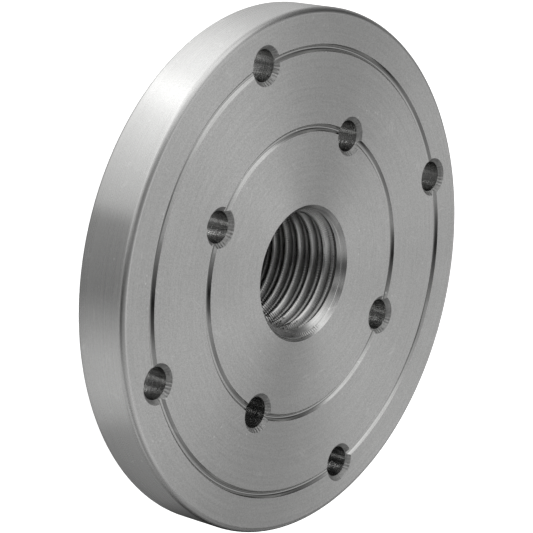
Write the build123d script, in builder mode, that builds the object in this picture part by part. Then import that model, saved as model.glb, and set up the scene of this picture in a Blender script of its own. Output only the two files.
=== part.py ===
"""Screw-on lathe faceplate, turned from one blank: a disc with a threaded hub behind it.

The plate stands on the end of its hub with its working face up. The origin is the middle of the
hub's end face, where the plate seats on the spindle shoulder, and +Z runs along the bore.
All sizes are in millimetres.
"""

from build123d import *
import math
import os

os.makedirs("parts", exist_ok=True)

# Disc
disc_dia = 100.0
disc_thickness = 10.6
face_edge_radius = 1.2
back_edge_radius = 0.7

# Hub behind the disc, with two flats for a spanner
hub_dia = 44.0
hub_length = 16.0
hub_root_radius = 1.6
hub_end_chamfer = 1.0
across_flats = 38.0
flats_height = 11.0

# Spindle bore, at the tapping size of a one inch thread with eight turns to the inch
tapping_dia = 22.2
mouth_dia = 26.2
mouth_angle = 45.0
register_dia = 26.0
register_depth = 3.2
register_lead_angle = 45.0
register_mouth_chamfer = 0.5

# Bolt holes, in two rings that stand half a step apart: the outer one is set in from the rim, and
# the inner one stands out from the hub, so that nuts and screw heads clear it
outer_ring_inset = 7.5
inner_ring_clearance = 5.65
holes_per_ring = 4
hole_dia = 6.0
hole_face_chamfer = 0.8
hole_back_chamfer = 0.3

# Grooves scribed in the working face, one through the middle of each ring of holes
groove_width = 1.45
groove_angle = 90.0
groove_root_width = 0.2

# Derived places
height = hub_length + disc_thickness
outer_ring_dia = disc_dia - 2 * outer_ring_inset
inner_ring_dia = hub_dia + 2 * inner_ring_clearance
half_step = 180.0 / holes_per_ring
groove_depth = (groove_width - groove_root_width) / 2 / math.tan(math.radians(groove_angle / 2))
mouth_depth = (mouth_dia - tapping_dia) / 2 / math.tan(math.radians(mouth_angle))
register_lead_length = (register_dia - tapping_dia) / 2 / math.tan(math.radians(register_lead_angle))


with BuildPart() as faceplate:
    # Turned blank: one section through disc and hub
    with BuildSketch(Plane.XZ) as blank:
        with BuildLine():
            Polyline(
                (0, 0),
                (hub_dia / 2, 0),
                (hub_dia / 2, hub_length),
                (disc_dia / 2, hub_length),
                (disc_dia / 2, height),
                (0, height),
                close=True,
            )
        make_face()
        corners = blank.vertices()
        rim = corners.group_by(Axis.X)[-1].sort_by(Axis.Y)
        neck = corners.group_by(Axis.X)[1].sort_by(Axis.Y)
        fillet(rim[-1], face_edge_radius)
        fillet(rim[0], back_edge_radius)
        fillet(neck[-1], hub_root_radius)
        chamfer(neck[0], hub_end_chamfer)
    revolve(axis=Axis.Z)

    # Flats, cut into the hub from its end
    with BuildSketch(Plane.XY) as flats:
        Circle(disc_dia / 2)
        Rectangle(disc_dia, across_flats, mode=Mode.SUBTRACT)
    extrude(amount=flats_height, mode=Mode.SUBTRACT)

    # Bore: register at the spindle end, tapping size, and a wide chamfer at the working face
    with BuildSketch(Plane.XZ) as bore:
        with BuildLine():
            Polyline(
                (0, 0),
                (register_dia / 2 + register_mouth_chamfer, 0),
                (register_dia / 2, register_mouth_chamfer),
                (register_dia / 2, register_depth),
                (tapping_dia / 2, register_depth + register_lead_length),
                (tapping_dia / 2, height - mouth_depth),
                (mouth_dia / 2, height),
                (0, height),
                close=True,
            )
        make_face()
    revolve(axis=Axis.Z, mode=Mode.SUBTRACT)

    # Bolt holes, drilled from the working face and chamfered at both ends
    for ring_dia, start in ((outer_ring_dia, 0.0), (inner_ring_dia, half_step)):
        with Locations(Plane.XY.offset(height)):
            with PolarLocations(ring_dia / 2, holes_per_ring, start_angle=start):
                Hole(hole_dia / 2, depth=disc_thickness + hub_length)
    rims = faceplate.edges().filter_by(GeomType.CIRCLE)
    hole_rims = rims.filter_by(lambda rim: abs(rim.radius - hole_dia / 2) < hole_dia / 1000)
    chamfer(hole_rims.group_by(Axis.Z)[-1], hole_face_chamfer)
    chamfer(hole_rims.group_by(Axis.Z)[0], hole_back_chamfer)

    # Grooves, last of all, so that they run on through the mouths of the holes
    for ring_dia in (outer_ring_dia, inner_ring_dia):
        with BuildSketch(Plane.XZ) as groove:
            with BuildLine():
                Polyline(
                    (ring_dia / 2 - groove_width / 2, height),
                    (ring_dia / 2 - groove_root_width / 2, height - groove_depth),
                    (ring_dia / 2 + groove_root_width / 2, height - groove_depth),
                    (ring_dia / 2 + groove_width / 2, height),
                    close=True,
                )
            make_face()
        revolve(axis=Axis.Z, mode=Mode.SUBTRACT)

faceplate.part.label = "faceplate"
export_step(faceplate.part, "parts/faceplate.step")
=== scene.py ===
"""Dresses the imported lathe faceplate: a finely cut skin with its real thread, steel finishes, a
pale floor, soft studio light and the camera. Lengths are in millimetres until they enter a mesh.
"""

import logging
import math
from dataclasses import dataclass
from enum import Enum

import bpy
import numpy as np
from mathutils import Matrix, Vector


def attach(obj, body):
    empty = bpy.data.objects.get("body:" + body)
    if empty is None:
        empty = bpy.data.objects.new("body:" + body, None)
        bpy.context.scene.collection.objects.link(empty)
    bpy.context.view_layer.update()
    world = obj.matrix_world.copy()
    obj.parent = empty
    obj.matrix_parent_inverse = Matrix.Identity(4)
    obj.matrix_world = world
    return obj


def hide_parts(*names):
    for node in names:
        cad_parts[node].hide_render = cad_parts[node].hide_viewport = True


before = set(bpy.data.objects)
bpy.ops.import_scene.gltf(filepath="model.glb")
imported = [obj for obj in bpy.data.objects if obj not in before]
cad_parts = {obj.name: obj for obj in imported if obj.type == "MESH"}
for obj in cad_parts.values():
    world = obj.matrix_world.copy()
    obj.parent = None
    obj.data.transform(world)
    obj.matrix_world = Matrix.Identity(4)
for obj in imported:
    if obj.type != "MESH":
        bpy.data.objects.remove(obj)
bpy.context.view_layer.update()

# Metres in a millimetre.
MM = 0.001

# Columns of points round the plate, and from one hole of a ring to the next. Surfaces that meet
# share them, so that their edges weld.
COLUMNS = 336
SPAN = COLUMNS // 4

# Places are welded where they agree to 1/20,000 mm. The shift keeps round sizes, such as heights
# of flat faces, away from the limits of rounding.
WELD_STEPS = 2e4
WELD_SHIFT = 0.1234

log = logging.getLogger("faceplate")
Node = bpy.types.Node
Socket = bpy.types.NodeSocket
Tree = bpy.types.NodeTree
Numbers = np.ndarray | float


# Surfaces


class Cut(Enum):
    """The ways in which the plate's surfaces were cut; each has a finish of its own."""

    FACED = 0
    RIM = 1
    SCRIBED = 2
    DRILLED = 3
    COUNTERSUNK = 4
    MOUTH = 5
    THREADED = 6
    BORED = 7
    MILLED = 8


@dataclass
class Skin:
    """Triangles of one surface.

    Every corner has twelve numbers: its place, the outward direction, the direction in which the
    tool ran, and the tool's own place (cosine and sine of its turn, and the way across its marks).
    """

    corners: np.ndarray
    cut: Cut


def circle(steps: int) -> np.ndarray:
    """Angles in radians of points spread evenly round a circle: a turn times number / steps."""
    return np.arange(steps) * (2 * np.pi / steps)


def shares(steps: int) -> np.ndarray:
    """Even shares from 0 to 1, one to a row."""
    return np.linspace(0, 1, steps + 1)[:, None]


def grid_skin(place: np.ndarray, normal: np.ndarray, lay: np.ndarray, mark: np.ndarray,
              cut: Cut, closed: bool = True) -> Skin:
    """Splits a grid of points into triangles, two to each cell, all facing outwards.

    Args:
        place: rows x columns x 3 grid of points.
        normal: outward direction at each point.
        lay: direction in which the tool ran at each point.
        mark: the tool's own place at each point.
        cut: how the surface was cut.
        closed: whether the last column joins the first.

    Returns:
        The grid's triangles.
    """
    grid = np.concatenate(np.broadcast_arrays(place, normal, lay, mark), axis=-1)
    if closed:
        grid = np.concatenate([grid, grid[:, :1]], axis=1)
    a, b, c, d = grid[:-1, :-1], grid[:-1, 1:], grid[1:, 1:], grid[1:, :-1]
    halves = [np.stack(t, axis=-2).reshape(-1, 3, 12) for t in ((a, b, c), (a, c, d))]
    return Skin(outward(np.concatenate(halves)), cut)


def outward(corners: np.ndarray) -> np.ndarray:
    """Turns round each triangle whose own normal is against those of its corners.

    Args:
        corners: triangles x 3 x 12 numbers.

    Returns:
        The same triangles, all facing outwards.
    """
    p = corners[:, :, :3]
    flat = np.cross(p[:, 1] - p[:, 0], p[:, 2] - p[:, 0])
    wrong = np.einsum("ti,ti->t", flat, corners[:, :, 3:6].sum(axis=1)) < 0
    turned_round = corners.copy()
    turned_round[wrong] = corners[wrong][:, ::-1]
    return turned_round


def turned(radius: Numbers, angle: Numbers, height: Numbers, lean: Numbers, cut: Cut,
           pivot: tuple[float, float] = (0.0, 0.0), shift: float = 0.0, closed: bool = True) -> Skin:
    """A surface cut round an upright axis.

    The point at each row and column is the axis plus radius times (cos, sin) of the angle, at the
    height; its outward direction leans up from the radial one by lean. The way across the marks is
    radius times the lean's sine, less height times its cosine.

    Args:
        radius: distance from the axis, by row and column.
        angle: turn round the axis in radians, by row and column.
        height: height by row and column.
        lean: lean of the outward direction above the radial one, in degrees.
        cut: how the surface was cut.
        pivot: where the axis stands.
        shift: added to the way across the tool's marks, so that two holes differ.
        closed: whether the surface goes all the way round.

    Returns:
        The surface's triangles.
    """
    tilt = np.radians(np.asarray(lean, float))
    radius, angle, height, tilt = np.broadcast_arrays(radius, angle, height, tilt)
    cos, sin = np.cos(angle), np.sin(angle)
    place = np.stack([pivot[0] + radius * cos, pivot[1] + radius * sin, height], axis=-1)
    normal = np.stack([np.cos(tilt) * cos, np.cos(tilt) * sin, np.sin(tilt)], axis=-1)
    lay = np.stack([-sin, cos, np.zeros_like(cos)], axis=-1)
    across = radius * np.sin(tilt) - height * np.cos(tilt) + shift
    return grid_skin(place, normal, lay, np.stack([cos, sin, across], axis=-1), cut, closed)


def near_columns(angle: np.ndarray) -> np.ndarray:
    """Takes from each angle the whole turns between it and its column's even one, which is the
    rounded difference in turns, so that the angles grow with the column's number.

    Args:
        angle: one angle for each of the COLUMNS columns, in radians.

    Returns:
        The angles, from about 0 to one turn.
    """
    return angle - 2 * np.pi * np.round((angle - circle(COLUMNS)) / (2 * np.pi))


# Sub-assemblies


@dataclass
class BoltRing:
    """One ring of four drilled holes and the groove scribed through them.

    Attributes:
        radius: radius of the ring.
        turn: angle of the first hole in degrees.
        neighbour: radius of the other ring, whose holes stand half way between these.
        groove_half: half the groove's width in the face.
        groove_slope: slope of its walls below the face, in degrees.
        arc_steps: steps round half a hole's mouth in the face.
        back_steps: steps round half a hole behind.
        root_steps: steps round the groove's root.
        chamfer_steps: rows down a hole's chamfer.
        wall_steps: rows down a hole's wall.
        mark_shift: sets the tool's marks apart from hole to hole, in millimetres.
    """

    radius: float
    turn: float
    neighbour: float
    hole_radius: float = 3.0
    face_chamfer: float = 0.8
    back_chamfer: float = 0.3
    groove_half: float = 0.725
    groove_depth: float = 0.625
    groove_slope: float = 53.0
    face_z: float = 26.6
    back_z: float = 16.0
    arc_steps: int = 24
    back_steps: int = 32
    root_steps: int = 6
    chamfer_steps: int = 4
    wall_steps: int = 8
    mark_shift: float = 31.7

    @property
    def mouth(self) -> float:
        """Radius of a hole's chamfer in the working face."""
        return self.hole_radius + self.face_chamfer

    @property
    def first(self) -> int:
        """Number of the column through the first hole."""
        return round(self.turn / 360 * COLUMNS)

    def profile(self) -> tuple[np.ndarray, np.ndarray, np.ndarray]:
        """The groove's section, a V with a round root, from its outer edge to its inner one.

        The root's rounding is (half width * tan - depth) / (1 / cos - 1) of the walls' slope, so
        that it touches both walls and reaches the depth.

        Returns:
            Distances outside the ring, depths below the face, and leans of the outward direction.
        """
        slope = math.radians(self.groove_slope)
        ball = (self.groove_half * math.tan(slope) - self.groove_depth) / (1 / math.cos(slope) - 1)
        sweep = np.linspace(self.groove_slope, -self.groove_slope, self.root_steps + 1)
        root = ball * np.sin(np.radians(sweep))
        out = np.concatenate([[self.groove_half], root, [-self.groove_half]])
        deep = self.groove_depth - ball * (1 - np.cos(np.radians(sweep)))
        depth = np.concatenate([[0.0], deep, [0.0]])
        lean = 90 + np.concatenate([sweep[:1], sweep, sweep[-1:]])
        return out, depth, lean

    def crossing(self) -> np.ndarray:
        """Where the groove's section meets a hole's chamfer.

        By the law of cosines a point at r from the plate's axis and q from the hole's has the
        turn acos((r*r - R*R - q*q) / 2Rq) round the hole, where R is the ring's radius.

        Returns:
            The turn round the hole at each point of the section, in radians.
        """
        out, depth, _ = self.profile()
        r, q = self.radius + out, self.mouth - depth
        return np.arccos((r**2 - self.radius**2 - q**2) / (2 * self.radius * q))

    def spread(self, arc: int, reach: float) -> np.ndarray:
        """How the columns from one hole to the next are shared out, in even steps over each part
        of the way.

        Args:
            arc: steps that go round half a hole.
            reach: radius of the hole's circle in the surface that is divided.

        Returns:
            Shares from 0 at one hole to 1 at the next, closer where the other ring has its hole.
        """
        own, other = math.asin(reach / self.radius), math.asin(reach / self.neighbour)
        gap, eighth = (SPAN - 2 * arc) // 2, math.pi / 4
        stops = np.concatenate([
            np.linspace(own, eighth - other, gap + 1),
            np.linspace(eighth - other, eighth + other, arc + 1)[1:],
            np.linspace(eighth + other, 2 * eighth - own, gap + 1)[1:],
        ])
        return (stops - own) / (2 * (eighth - own))

    def border(self, side: int, back: bool = False) -> tuple[np.ndarray, np.ndarray]:
        """The edge of the flat face along this ring: round each hole's near or far half, and along
        the groove's edge (or, behind, along the ring) from hole to hole.

        The hole's part goes as far as the turn acos((e*e - R*R - q*q) / 2Rq) to both sides, where
        e is the edge's radius, R the ring's and q the hole's.

        Args:
            side: 1 for the edge outside the ring, -1 for the one inside it.
            back: whether the face is the one behind.

        Returns:
            Radius and angle for each of the COLUMNS columns.
        """
        big, q = self.radius, self.hole_radius + self.back_chamfer if back else self.mouth
        steps = self.back_steps if back else self.arc_steps
        if back:
            edge = math.sqrt(big**2 - q**2)
        else:
            edge = big + side * self.groove_half
        half = math.acos(max(-1.0, min(1.0, side * (edge**2 - big**2 - q**2) / (2 * big * q))))
        sweep = np.linspace(-half, half, steps + 1)
        x, y = big + side * q * np.cos(sweep), q * np.sin(sweep)
        arc_r, arc_a = np.hypot(x, y), np.arctan2(y, x)
        share = self.spread(steps, q)[1:-1]
        run_a = arc_a[-1] + share * (np.pi / 2 - 2 * arc_a[-1])
        quarter_r = np.concatenate([arc_r, np.full(share.size, edge)])
        quarter_a = np.concatenate([arc_a, run_a])
        r = np.tile(quarter_r, 4)
        a = np.concatenate([quarter_a + k * np.pi / 2 for k in range(4)]) + math.radians(self.turn)
        roll = self.first - steps // 2
        return np.roll(r, roll), near_columns(np.roll(a, roll))

    def centres(self) -> list[tuple[float, float, float]]:
        """Turn in radians, x and y of each hole."""
        turns = [math.radians(self.turn + 90 * k) for k in range(4)]
        return [(t, self.radius * math.cos(t), self.radius * math.sin(t)) for t in turns]

    def holes(self) -> list[Skin]:
        """Each hole: chamfer in the face, cut into by the groove, then wall and back chamfer.

        Round the hole, the columns go over half a crossing, the outer arc, a whole crossing, the
        inner arc and the other half crossing. Down the wall they move to even steps.

        Returns:
            Skins of the four holes.
        """
        cross, (_, dip, _) = self.crossing(), self.profile()
        mid = len(cross) // 2
        outer = np.linspace(-cross[0], cross[0], self.arc_steps + 1)
        inner = np.linspace(cross[-1], 2 * np.pi - cross[-1], self.arc_steps + 1)
        top = np.concatenate([-cross[mid:0:-1], outer[:-1], cross[:-1], inner[:-1],
                              2 * np.pi - cross[:mid:-1]])
        flat = np.zeros(self.arc_steps)
        depth = np.concatenate([dip[mid:0:-1], flat, dip[:-1], flat, dip[:mid:-1]])
        reach = self.hole_radius + self.back_chamfer
        half = math.acos(-reach / self.radius)
        low = np.concatenate([
            np.linspace(-half, half, self.back_steps + 1)[:-1],
            np.linspace(half, 2 * np.pi - half, self.back_steps + 1)[:-1],
        ])
        made = []
        cone = depth + (self.face_chamfer - depth) * shares(self.chamfer_steps)
        wall = shares(self.wall_steps)
        wall_z = self.face_z - self.face_chamfer - wall * (
            self.face_z - self.back_z - self.face_chamfer - self.back_chamfer)
        step = np.array([[0.0], [self.back_chamfer]])
        for number, (turn, x, y) in enumerate(self.centres()):
            where = {"pivot": (x, y), "shift": self.mark_shift * (number + self.radius)}
            made += [
                turned(self.mouth - cone, top + turn, self.face_z - cone, 135, Cut.COUNTERSUNK, **where),
                turned(self.hole_radius, (1 - wall) * top + wall * low + turn, wall_z, 180,
                       Cut.DRILLED, **where),
                turned(self.hole_radius + step, low + turn, self.back_z + self.back_chamfer - step,
                       225, Cut.COUNTERSUNK, **where),
            ]
        return made

    def groove(self) -> list[Skin]:
        """The groove from hole to hole.

        Each row of it lies at one point of the V section and runs between the turns at which that
        point meets the chamfers, plus or minus acos((r*r + R*R - q*q) / 2rR).

        Returns:
            Skins of the four runs.
        """
        out, depth, lean = self.profile()
        r, q = self.radius + out, self.mouth - depth
        end = np.arccos((r**2 + self.radius**2 - q**2) / (2 * r * self.radius))[:, None]
        share = self.spread(self.arc_steps, self.mouth)
        run = end + share * (np.pi / 2 - 2 * end)
        return [turned(r[:, None], run + start, self.face_z - depth[:, None], lean[:, None],
                       Cut.SCRIBED, closed=False)
                for start, _, _ in self.centres()]


@dataclass
class Hub:
    """The hub behind the disc, with two flats for a spanner.

    Attributes:
        half_flats: half the width over the flats.
        flats_z: height to which the flats are cut.
        barrel_steps: columns round the hub between the flats, an even number.
        corner_steps: columns in which the end chamfer runs out at the flats.
        flat_steps: columns along the rest of a flat.
        fillet_steps: rows round the fillet under the disc.
        wall_steps: rows up the hub and the flats, and over the end face.
        chamfer_steps: rows up the end chamfer.
        mark_radius: the marks on a flat take the way along it, over this, for a turn's cosine.
    """

    radius: float = 22.0
    top_z: float = 16.0
    root_radius: float = 1.6
    end_chamfer: float = 1.0
    half_flats: float = 19.0
    flats_z: float = 11.0
    barrel_steps: int = 108
    corner_steps: int = 6
    flat_steps: int = 48
    fillet_steps: int = 8
    wall_steps: int = 3
    chamfer_steps: int = 2
    mark_radius: float = 20.0

    @property
    def corner(self) -> float:
        """Angle of the corner that a flat makes with the hub, asin(half the width / radius)."""
        return math.asin(self.half_flats / self.radius)

    def columns(self) -> np.ndarray:
        """Spreads the columns, with one on each corner that the flats make with the hub and with
        its end chamfer.

        Returns:
            Their angles in radians.
        """
        side = self.corner
        low = math.asin(self.half_flats / (self.radius - self.end_chamfer))
        half = np.concatenate([
            np.linspace(-side, side, self.barrel_steps + 1)[:-1],
            np.linspace(side, low, self.corner_steps + 1)[:-1],
            np.linspace(low, np.pi - low, self.flat_steps + 1)[:-1],
            np.linspace(np.pi - low, np.pi - side, self.corner_steps + 1)[:-1],
        ])
        return near_columns(np.roll(np.concatenate([half, half + np.pi]), -self.barrel_steps // 2))

    def flat_radius(self, angle: np.ndarray) -> np.ndarray:
        """Distance from the axis to the flats' planes: half the width over them by the sine."""
        return self.half_flats / np.maximum(np.abs(np.sin(angle)), 1e-6)

    def skins(self, bore_radius: float) -> list[Skin]:
        """Fillet, hub, ledge over the flats, flats, end chamfer and end face.

        Args:
            bore_radius: radius at which the bore opens in the end face.

        Returns:
            The hub's skins.
        """
        a = self.columns()
        wide = self.flat_radius(a)
        sweep = shares(self.fillet_steps) * np.pi / 2
        fillet = turned(self.radius + self.root_radius * (1 - np.sin(sweep)), a,
                        self.top_z - self.root_radius * (1 - np.cos(sweep)),
                        np.degrees(sweep) - 90, Cut.BORED)
        neck = turned(self.radius, a, np.array([[self.top_z - self.root_radius], [self.flats_z]]),
                      0, Cut.RIM)
        waist = np.minimum(self.radius, wide)
        ledge = turned(np.stack([np.full_like(a, self.radius), waist]), a, self.flats_z, -90, Cut.MILLED)
        foot = np.clip(wide - (self.radius - self.end_chamfer), 0, self.end_chamfer)
        level = np.linspace(self.end_chamfer, self.flats_z, self.wall_steps + 1)[:, None]
        barrel = [turned(self.radius, np.linspace(-self.corner, self.corner, self.barrel_steps + 1) + turn,
                         level, 0, Cut.RIM, closed=False)
                  for turn in (0, np.pi)]
        rise = shares(self.chamfer_steps) * foot
        chamfer = turned(np.minimum(self.radius - self.end_chamfer + rise, wide), a, rise, -45, Cut.RIM)
        base = np.minimum(self.radius - self.end_chamfer, wide)
        even, share = circle(COLUMNS), shares(self.wall_steps)
        end = turned(bore_radius + (base - bore_radius) * share, even + (a - even) * share, 0, -90,
                     Cut.FACED)
        return [fillet, neck, ledge, self.flats(a, foot), *barrel, chamfer, end]

    def flats(self, angle: np.ndarray, foot: np.ndarray) -> Skin:
        """The two flats: plane y = half the width over flats, from the end chamfer to the ledge.

        Args:
            angle: the hub's columns.
            foot: height at which each column leaves the end chamfer.

        Returns:
            Their triangles.
        """
        keep = np.abs(np.sin(angle)) >= self.half_flats / self.radius - 1e-9
        made = []
        for side in (1, -1):
            mine = keep & (np.sin(angle) * side > 0)
            a, low = angle[mine], foot[mine]
            z = low + (self.flats_z - low) * shares(self.wall_steps)
            x = np.broadcast_to(self.half_flats * np.cos(a) / np.abs(np.sin(a)), z.shape)
            place = np.stack([x, np.full_like(z, side * self.half_flats), z], axis=-1)
            normal = np.broadcast_to([0.0, side, 0.0], place.shape)
            lay = np.broadcast_to([1.0, 0.0, 0.0], place.shape)
            mark = np.stack([x / self.mark_radius, np.zeros_like(x), z], axis=-1)
            made.append(grid_skin(place, normal, lay, mark, Cut.MILLED, closed=False).corners)
        return Skin(np.concatenate(made), Cut.MILLED)


@dataclass
class Bore:
    """The spindle bore: register, one inch thread with eight turns to the inch, wide mouth.

    Attributes:
        crest_radius: distance from the axis to the crest's sharp lower edge.
        pitch: rise of the thread in one turn, 1/8 inch.
        flank_angle: half the angle between the flanks, in degrees.
        crest_round: radius of the arc that leads from that edge to the upper flank.
        crest_lean: how far the arc looks up where it starts at the edge, in degrees.
        depth: distance from crest to root.
        edge_z: height of the crest's lower edge at edge_turn, in degrees round the axis.
        crest_steps: rows over the crest's arc.
        flank_steps: rows over a flank.
        root_steps: rows over the root's arc.
        turns_below: turns drawn below the one whose crest is at edge_z, before they are held at
            the thread's end.
        turns_above: turns drawn from that one upwards.
        mark_lean: how far the marks move across the thread as its radius grows.
    """

    crest_radius: float = 11.1
    pitch: float = 3.175
    flank_angle: float = 30.0
    crest_round: float = 0.9
    crest_lean: float = 20.0
    depth: float = 1.65
    edge_z: float = 25.32
    edge_turn: float = 234.78
    mouth_radius: float = 13.1
    face_z: float = 26.6
    register_radius: float = 13.0
    register_z: float = 3.2
    register_chamfer: float = 0.5
    crest_steps: int = 5
    flank_steps: int = 2
    root_steps: int = 12
    turns_below: int = 9
    turns_above: int = 4
    mark_lean: float = 0.35

    @property
    def steep(self) -> float:
        """How fast a flank's radius grows with height, 1 / tan of its angle."""
        return 1 / math.tan(math.radians(self.flank_angle))

    @property
    def crest_top(self) -> tuple[float, float]:
        """Where the crest's arc meets the upper flank: further up by its rounding times the
        difference of the sines, and further out by that of the cosines.

        Returns:
            Height over the edge, and radius.
        """
        low, high = math.radians(self.crest_lean), math.radians(90 - self.flank_angle)
        return (self.crest_round * (math.sin(high) - math.sin(low)),
                self.crest_radius + self.crest_round * (math.cos(low) - math.cos(high)))

    @property
    def root(self) -> tuple[float, float]:
        """The root's arc: the flanks' lines meet at its middle's height, and it touches both and
        reaches the thread's depth.

        Returns:
            Height of its middle over the edge, and its rounding.
        """
        width, start = self.crest_top
        middle = (self.pitch + width) / 2 - (start - self.crest_radius) / (2 * self.steep)
        sharp = self.steep * (self.pitch - middle)
        return middle, (sharp - self.depth) / (1 / math.sin(math.radians(self.flank_angle)) - 1)

    def section(self, phase: np.ndarray) -> tuple[np.ndarray, np.ndarray]:
        """The thread's section along the axis: the crest's arc, upper flank, round root, lower
        flank and back to the crest's edge.

        Args:
            phase: way up from the crest's lower edge, in millimetres, of any size.

        Returns:
            Radius there, and how fast it grows with height.
        """
        u = np.mod(phase, self.pitch)
        width, start = self.crest_top
        middle, ball = self.root
        half = ball * math.cos(math.radians(self.flank_angle))
        low = math.radians(self.crest_lean)
        sine = np.clip(math.sin(low) + u / self.crest_round, -1, math.cos(math.radians(self.flank_angle)))
        cosine = np.sqrt(1 - sine**2)
        way = np.clip(u - middle, -half, half)
        rise = np.sqrt(ball**2 - way**2)
        kinds = [u < width, u < middle - half, u < middle + half]
        radius = np.select(kinds, [
            self.crest_radius + self.crest_round * (math.cos(low) - cosine),
            start + (u - width) * self.steep,
            self.crest_radius + self.depth - ball + rise,
        ], self.crest_radius + (self.pitch - u) * self.steep)
        slope = np.select(kinds, [sine / cosine, self.steep, -way / rise], -self.steep)
        return radius, slope

    def ends(self, z: np.ndarray) -> tuple[np.ndarray, np.ndarray]:
        """The cones at both ends of the thread, each at 45 degrees.

        Args:
            z: heights.

        Returns:
            Radius of the wider cone there, and how fast it grows with height.
        """
        mouth = self.mouth_radius - (self.face_z - z)
        lead = self.register_radius - (z - self.register_z)
        return np.maximum(mouth, lead), np.where(mouth > lead, 1.0, -1.0)

    def rows(self) -> np.ndarray:
        """Spreads the rows of one turn: even steps over each flank, and steps of even turn over
        the arcs, at rounding times the sine.

        Returns:
            Heights above the crest's lower edge.
        """
        low, high = math.radians(self.crest_lean), math.radians(90 - self.flank_angle)
        crest = self.crest_round * (np.sin(np.linspace(low, high, self.crest_steps + 1)) - math.sin(low))
        middle, ball = self.root
        root = middle + ball * np.sin(np.linspace(-high, high, self.root_steps + 1))
        rise = np.linspace(crest[-1], root[0], self.flank_steps + 1)[1:]
        fall = np.linspace(root[-1], self.pitch, self.flank_steps + 1)[1:-1]
        return np.concatenate([crest, rise, root[1:], fall])

    def thread(self) -> Skin:
        """The thread between its two end cones.

        The grid's rows climb with the helix, by one pitch a turn, and are held between the ends.
        Its radius is the greater of thread and cone. Where the two cross between rows, the nearer
        row moves to the crossing, and each triangle takes its normals from the surface that it
        lies on, so every edge is sharp.

        Returns:
            The thread's triangles.
        """
        angle = np.arange(COLUMNS + 1) * (2 * np.pi / COLUMNS)
        climb = self.edge_z + self.pitch * (angle / (2 * np.pi) - self.edge_turn / 360)
        turns = np.arange(-self.turns_below, self.turns_above) * self.pitch
        z = (turns[:, None] + self.rows()).reshape(-1, 1) + climb
        low, high = self.register_z, self.face_z
        z = np.clip(z, low, high)

        def excess(height: np.ndarray) -> np.ndarray:
            """How far the end cones stand outside the thread."""
            return self.ends(height)[0] - self.section(height - climb)[0]

        gap = excess(z)
        crosses = (gap[:-1] > 0) != (gap[1:] > 0)
        share = gap[:-1] / np.where(crosses, gap[:-1] - gap[1:], 1.0)
        meet = z[:-1] + np.clip(share, 0, 1) * (z[1:] - z[:-1])
        lower = crosses & (share < 0.5)
        upper = crosses & ~lower
        crease = np.zeros(z.shape, bool)
        z[:-1] = np.where(lower, meet, z[:-1])
        z[1:] = np.where(upper, meet, z[1:])
        crease[:-1] |= lower
        crease[1:] |= upper

        radius = np.maximum(self.ends(z)[0], self.section(z - climb)[0])
        turn = np.broadcast_to(angle, z.shape)
        base = np.broadcast_to(climb, z.shape)
        grid = np.stack([radius, turn, z, base, crease], axis=-1)
        a, b, c, d = grid[:-1, :-1], grid[:-1, 1:], grid[1:, 1:], grid[1:, :-1]
        other = (b[..., 4] * d[..., 4] > 0)[..., None, None]
        first = np.where(other, np.stack([a, b, d], axis=-2), np.stack([a, b, c], axis=-2))
        second = np.where(other, np.stack([b, c, d], axis=-2), np.stack([a, c, d], axis=-2))
        tri = np.concatenate([first.reshape(-1, 3, 5), second.reshape(-1, 3, 5)])
        # Rows that are held at an end lie at one height, and what is between them is left out.
        tri = tri[np.ptp(tri[:, :, 2], axis=1) > 1e-7]
        return self.dressed(tri)

    def dressed(self, tri: np.ndarray) -> Skin:
        """Turns triangles in radius, turn and height into a skin.

        The outward direction of the surface r = f(z - p * turn / 2 pi) is minus its radial part,
        plus the slope upwards, less the slope times p / 2 pi r along the turn.

        Args:
            tri: triangles x 3 corners x (radius, turn, height, helix height, crease flag).

        Returns:
            The skin.
        """
        r, a, z, base = (tri[:, :, k] for k in range(4))
        mid_z, mid_base = z.mean(axis=1, keepdims=True), base.mean(axis=1, keepdims=True)
        middle = mid_z - mid_base
        on_cone = self.ends(mid_z)[0] > self.section(middle)[0]
        # A corner on a crease takes the slope of its own triangle's side, just inside the corner.
        held = middle + (z - base - middle) * 0.999
        slope = np.where(on_cone, self.ends(mid_z)[1], self.section(held)[1])
        lead = np.where(on_cone, 0.0, self.pitch / (2 * np.pi) / r)
        cos, sin = np.cos(a), np.sin(a)
        along = -slope * lead
        normal = np.stack([-cos - along * sin, -sin + along * cos, slope], axis=-1)
        normal /= np.linalg.norm(normal, axis=-1, keepdims=True)
        lay = np.stack([-sin, cos, np.zeros_like(cos)], axis=-1)
        across = np.where(on_cone, math.sqrt(2) * r, z - base + self.mark_lean * r)
        place = np.stack([r * cos, r * sin, z], axis=-1)
        mark = np.stack([cos, sin, across], axis=-1)
        return Skin(outward(np.concatenate([place, normal, lay, mark], axis=-1)), Cut.THREADED)

    def skins(self) -> list[Skin]:
        """Makes the thread with its mouth and lead, the register, and the register's chamfer.

        Returns:
            The bore's skins.
        """
        even = circle(COLUMNS)
        wall = turned(self.register_radius, even,
                      np.array([[self.register_z], [self.register_chamfer]]), 180, Cut.BORED)
        edge = turned(np.array([[self.register_radius], [self.register_radius + self.register_chamfer]]),
                      even, np.array([[self.register_chamfer], [0.0]]), 225, Cut.BORED)
        thread = self.thread()
        # The mouth's cone has a finish of its own. It goes no deeper than to the crest's radius.
        height = thread.corners[:, :, 2].mean(axis=1)
        radius = np.hypot(thread.corners[:, :, 0], thread.corners[:, :, 1])
        cone = np.abs(radius - (self.mouth_radius - self.face_z + thread.corners[:, :, 2])).max(axis=1)
        at_mouth = (cone < 1e-4) & (height > self.face_z - (self.mouth_radius - self.crest_radius))
        mouth = Skin(thread.corners[at_mouth], Cut.MOUTH)
        return [Skin(thread.corners[~at_mouth], Cut.THREADED), mouth, wall, edge]


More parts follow.
